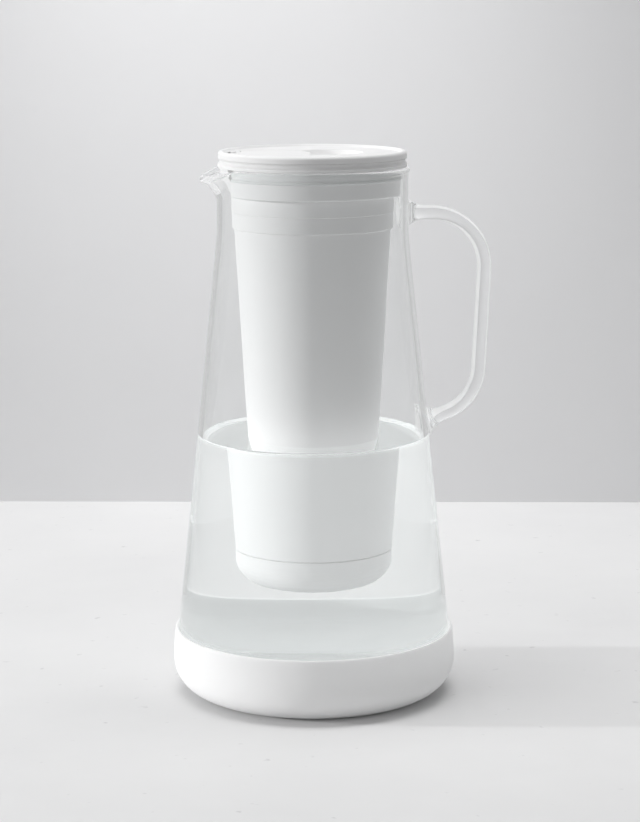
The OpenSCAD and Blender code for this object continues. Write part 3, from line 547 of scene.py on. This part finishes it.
# Where the flat underside has a ring of points, so that its faces stay short
UNDERSIDE_R = 30
boot_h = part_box("silicone_boot")[1].z / MM
boot_top_r = NECK_R + (shoulder_z - boot_h) * math.tan(cone_angle) + BOOT_LIP_T
boot_r = boot_top_r + BOOT_BULGE
side_h = boot_h - BOOT_CORNER_R
side_r = (side_h ** 2 + (boot_r - boot_top_r) ** 2) / (2 * (boot_r - boot_top_r))
side_turn = math.degrees(math.asin((side_h - LIP_OUTER_R) / side_r))
lip_in_r = NECK_R + (shoulder_z - boot_h) * math.tan(cone_angle) + BOOT_GAP
cavity = [p for p in vessel_outline(-BOOT_GAP, base_z - BOOT_GAP, HEEL_R) if p[1] < boot_h - LIP_DEPTH]
# The side starts a degree past its corner, so that no two points fall together
boot_outline = (
    [(0, 0), (UNDERSIDE_R, 0)]
    + arc((boot_r - BOOT_CORNER_R, BOOT_CORNER_R), BOOT_CORNER_R, -90, 0, 20)
    + arc((boot_r - side_r, BOOT_CORNER_R), side_r, 1, side_turn, 8)
    + arc((boot_top_r - LIP_OUTER_R, boot_h - LIP_OUTER_R), LIP_OUTER_R, 30, 90, 6)
    + arc((lip_in_r + LIP_INSET, boot_h - LIP_INNER_R), LIP_INNER_R, 90, 180, 5)
    + cavity[::-1])
boot = lathe("boot", lambda angle: boot_outline)


def new_group(name, inputs, outputs):
    """A shader node group with float, colour and vector sockets. Returns it and the outputs of
    its input node and the inputs of its output node."""
    group = bpy.data.node_groups.new(name, "ShaderNodeTree")
    for in_out, sockets in (("INPUT", inputs), ("OUTPUT", outputs)):
        for socket, kind in sockets:
            group.interface.new_socket(socket, in_out=in_out, socket_type="NodeSocket" + kind)
    return group, group.nodes.new("NodeGroupInput").outputs, group.nodes.new("NodeGroupOutput").inputs


def grain_group():
    """Moulded surface: broad tone, handling marks in the gloss, and a fine grain."""
    group, given, put = new_group(
        "moulded_grain",
        (("Vector", "Vector"), ("Grain Scale", "Float"), ("Tone A", "Color"), ("Tone B", "Color"),
         ("Rough A", "Float"), ("Rough B", "Float")),
        (("Color", "Color"), ("Roughness", "Float"), ("Height", "Float")))
    broad = add_noise(group, given["Vector"], scale=22.0, detail=4.0, roughness=0.55)
    tone = add_mix(group, add_range(group, broad, 0, 1), given["Tone A"], given["Tone B"])
    group.links.new(tone, put["Color"])
    marks = add_noise(group, given["Vector"], scale=65.0, detail=5.0, roughness=0.65)
    rough = group.nodes.new("ShaderNodeMix")
    group.links.new(add_range(group, marks, 0, 1), rough.inputs["Factor"])
    group.links.new(given["Rough A"], rough.inputs[2])
    group.links.new(given["Rough B"], rough.inputs[3])
    group.links.new(rough.outputs[0], put["Roughness"])
    fine = group.nodes.new("ShaderNodeTexNoise")
    fine.inputs["Detail"].default_value = 2.0
    group.links.new(given["Vector"], fine.inputs["Vector"])
    group.links.new(given["Grain Scale"], fine.inputs["Scale"])
    group.links.new(fine.outputs["Fac"], put["Height"])
    return group


moulded_grain = grain_group()


def moulded_material(name, tone_a, tone_b, rough, grain_scale, depth, ior):
    """A moulded plastic or rubber finish. rough is the range of its gloss, depth its grain's."""
    mat, tree, shader = new_material(name)
    grain = tree.nodes.new("ShaderNodeGroup")
    grain.node_tree = moulded_grain
    tree.links.new(object_coords(tree), grain.inputs["Vector"])
    for socket, value in (("Grain Scale", grain_scale), ("Tone A", (*tone_a, 1)), ("Tone B", (*tone_b, 1)),
                          ("Rough A", rough[0]), ("Rough B", rough[1])):
        grain.inputs[socket].default_value = value
    tree.links.new(grain.outputs["Color"], shader.inputs["Base Color"])
    tree.links.new(grain.outputs["Roughness"], shader.inputs["Roughness"])
    add_bump(tree, shader, grain.outputs["Height"], depth)
    shader.inputs["IOR"].default_value = ior
    return mat


PLASTIC_IOR, SILICONE_IOR, RUBBER_IOR = 1.49, 1.41, 1.5
silicone_mat = moulded_material(
    "white_silicone", (0.832, 0.832, 0.832), (0.812, 0.812, 0.814), rough=(0.46, 0.58),
    grain_scale=1400.0, depth=0.02 * MM, ior=SILICONE_IOR)
shader = node_of(silicone_mat, "BSDF_PRINCIPLED")
shader.inputs["Subsurface Weight"].default_value = 0.5
shader.inputs["Subsurface Radius"].default_value = (1.0, 1.0, 1.0)
shader.inputs["Subsurface Scale"].default_value = 5 * MM
boot.data.materials.append(silicone_mat)
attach(boot, "pitcher")
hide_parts("silicone_boot")

# ---- Reservoir, capsule and lid mouldings -------------------------------------------------
# Injection-moulded white plastic: a hanging cup with a stepped collar and a pour ramp, the
# filter capsule's bowl, and the lid's base, cover and hatch. Satin, with a faint grain.

plastic_mat = moulded_material(
    "white_plastic", (0.87, 0.87, 0.87), (0.85, 0.85, 0.85), rough=(0.30, 0.40),
    grain_scale=1100.0, depth=0.012 * MM, ior=PLASTIC_IOR)
cartridge_mat = moulded_material(
    "cartridge_plastic", (0.62, 0.63, 0.64), (0.58, 0.59, 0.60), rough=(0.30, 0.42),
    grain_scale=1100.0, depth=0.012 * MM, ior=PLASTIC_IOR)
seal_mat = moulded_material(
    "seal_silicone", (0.80, 0.81, 0.81), (0.76, 0.77, 0.77), rough=(0.40, 0.52),
    grain_scale=1600.0, depth=0.015 * MM, ior=SILICONE_IOR)
ring_mat = moulded_material(
    "o_ring_rubber", (0.030, 0.030, 0.032), (0.045, 0.045, 0.047), rough=(0.45, 0.60),
    grain_scale=1600.0, depth=0.02 * MM, ior=RUBBER_IOR)


def dress(names, mat):
    """Gives carried-over nodes a material."""
    for name in names:
        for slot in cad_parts[name].material_slots:
            slot.material = mat


dress(("reservoir_cup", "capsule_cup", "lid_base", "lid_cover", "flap"), plastic_mat)
dress(("membrane_housing", "membrane_cap", "capsule_cover"), cartridge_mat)
dress(("neck_seal", "lid_seal"), seal_mat)
dress(("membrane_seal", "capsule_seal"), ring_mat)

# ---- Filter media -------------------------------------------------------------------------
# Bunched hollow fibres set in amber resin, and in the capsule black carbon granules over
# amber exchange beads, kept apart by felt pads. The hatch's steel pin is dressed here too.


def grains_group():
    """Packed granules or beads: a colour for each, with a rounded height and painted shade that darkens
    the gaps between them.
    """
    group, given, put = new_group(
        "packed_grains",
        (("Vector", "Vector"), ("Scale", "Float"), ("Tone A", "Color"), ("Tone B", "Color"),
         ("Gap", "Color")),
        (("Color", "Color"), ("Height", "Float")))
    cells = group.nodes.new("ShaderNodeTexVoronoi")
    group.links.new(given["Vector"], cells.inputs["Vector"])
    group.links.new(given["Scale"], cells.inputs["Scale"])
    split = group.nodes.new("ShaderNodeSeparateColor")
    group.links.new(cells.outputs["Color"], split.inputs[0])
    tone = add_mix(group, split.outputs[0], given["Tone A"], given["Tone B"])
    # Painted shade: each grain darkens towards its edge, where the gaps between grains lie
    gap_shade = add_range(group, cells.outputs["Distance"], 0, 1, 0.45, 0.75)
    group.links.new(add_mix(group, gap_shade, tone, given["Gap"]), put["Color"])
    group.links.new(add_range(group, cells.outputs["Distance"], 1, 0, 0.0, 0.8), put["Height"])
    return group


packed_grains = grains_group()


def grains_material(name, scale, tone_a, tone_b, gap_shade, rough, depth):
    mat, tree, shader = new_material(name)
    grains = tree.nodes.new("ShaderNodeGroup")
    grains.node_tree = packed_grains
    tree.links.new(object_coords(tree), grains.inputs["Vector"])
    grains.inputs["Scale"].default_value = scale
    for socket, colour in (("Tone A", tone_a), ("Tone B", tone_b), ("Gap", gap_shade)):
        grains.inputs[socket].default_value = (*colour, 1)
    tree.links.new(grains.outputs["Color"], shader.inputs["Base Color"])
    shader.inputs["Roughness"].default_value = rough
    add_bump(tree, shader, grains.outputs["Height"], depth)
    return mat


carbon_mat = grains_material(
    "carbon_granules", 900.0, (0.012, 0.012, 0.013), (0.045, 0.045, 0.047), gap_shade=(0.003, 0.003, 0.003),
    rough=0.55, depth=0.3 * MM)
beads_mat = grains_material(
    "exchange_beads", 1300.0, (0.55, 0.32, 0.10), (0.72, 0.50, 0.22), gap_shade=(0.16, 0.08, 0.02),
    rough=0.25, depth=0.25 * MM)

felt_mat, tree, shader = new_material("filter_felt")
tangle = add_noise(tree, object_coords(tree, (1, 1, 3)), scale=700.0, detail=6.0, roughness=0.7)
tree.links.new(add_mix(tree, add_range(tree, tangle, 0, 1), (0.60, 0.60, 0.58), (0.80, 0.80, 0.78)),
               shader.inputs["Base Color"])
shader.inputs["Roughness"].default_value = 0.95
add_bump(tree, shader, tangle, 0.15 * MM)

fibre_mat, tree, shader = new_material("hollow_fibres")
strands = add_noise(tree, object_coords(tree, (1, 1, 0.02)), scale=1800.0, detail=2.0)
tree.links.new(add_mix(tree, add_range(tree, strands, 0, 1), (0.66, 0.63, 0.55), (0.84, 0.82, 0.76)),
               shader.inputs["Base Color"])
shader.inputs["Roughness"].default_value = 0.6
add_bump(tree, shader, strands, 0.12 * MM)

potting_mat, tree, shader = new_material("potting_resin")
clouds = add_noise(tree, object_coords(tree), scale=120.0, detail=4.0)
tree.links.new(add_mix(tree, add_range(tree, clouds, 0, 1), (0.50, 0.36, 0.13), (0.62, 0.48, 0.22)),
               shader.inputs["Base Color"])
tree.links.new(add_range(tree, clouds, 0.15, 0.3), shader.inputs["Roughness"])

steel_mat, tree, shader = new_material("hinge_steel")
shader.inputs["Metallic"].default_value = 1.0
drawn = add_noise(tree, object_coords(tree, (1, 0.05, 1)), scale=2600.0, detail=2.0)
tree.links.new(add_mix(tree, drawn, (0.50, 0.50, 0.51), (0.66, 0.66, 0.67)), shader.inputs["Base Color"])
tree.links.new(add_range(tree, drawn, 0.22, 0.38), shader.inputs["Roughness"])

dress(("carbon_bed",), carbon_mat)
dress(("resin_bed",), beads_mat)
dress(("inlet_pad", "divider_pad", "outlet_pad"), felt_mat)
dress(("fibre_bundle",), fibre_mat)
dress(("potting_disc",), potting_mat)
dress(("hinge_pin",), steel_mat)

# ---- Water --------------------------------------------------------------------------------
# Clear water that fills the lower half of the vessel. It isn't part of the object. Its side
# lies a hair inside the glass wall, so that no film of air shows between them.

WATER_Z, WATER_LAP = 129.0, 0.15
MENISCUS_H, MENISCUS_W, MENISCUS_CURVE, MENISCUS_STEPS = 1.6, 3.5, 2.4, 6
# Painted glow: light that the body of water and, more strongly, its top give off by themselves though no
# lamp is there, and the band between them
PAINTED_BODY_GLOW, PAINTED_TOP_GLOW, TOP_BAND = 0.02, 0.07, (0.8, 0.2)
floor_z = base_z + GLASS_FLOOR
inner_side = [p for p in vessel_outline(GLASS_WALL - WATER_LAP, floor_z - WATER_LAP, HEEL_INNER_R)
              if p[1] < WATER_Z - 1]
water_r = (FOOT_R - (GLASS_WALL - WATER_LAP) / math.cos(cone_angle)
           - (WATER_Z + MENISCUS_H - base_z) * math.tan(cone_angle))
meniscus = [(water_r - MENISCUS_W * (1 - t), WATER_Z + MENISCUS_H * t ** MENISCUS_CURVE)
            for t in (i / MENISCUS_STEPS for i in range(MENISCUS_STEPS, -1, -1))]
flat_r = meniscus[-1][0]
water_outline = inner_side + meniscus + [(flat_r - 0.5, WATER_Z), (flat_r / 2, WATER_Z), (0, WATER_Z)]
water = lathe("water", lambda angle: water_outline)
water_mat, tree, shader = new_material("clear_water")
shader.inputs["Base Color"].default_value = (0.985, 0.996, 0.994, 1)
shader.inputs["Roughness"].default_value = 0.0
shader.inputs["Transmission Weight"].default_value = 1.0
shader.inputs["IOR"].default_value = 1.333
# The water's painted glow, tinted and brighter in a thin band just under its top
shader.inputs["Emission Color"].default_value = (0.93, 1.0, 0.985, 1)
height = tree.nodes.new("ShaderNodeSeparateXYZ")
tree.links.new(object_coords(tree), height.inputs[0])
top_low, top_high = ((WATER_Z - depth) * MM for depth in TOP_BAND)
tree.links.new(add_range(tree, height.outputs["Z"], PAINTED_BODY_GLOW, PAINTED_TOP_GLOW, top_low, top_high),
               shader.inputs["Emission Strength"])
# Bounced light finds a painted glow in the water, in place of the light that the water gathers onto what
# stands in it
let_lamps_through(water_mat, (0.74, 0.745, 0.745), (0.97, 0.975, 0.975), painted_gathered_glow=0.225)
water.data.materials.append(water_mat)
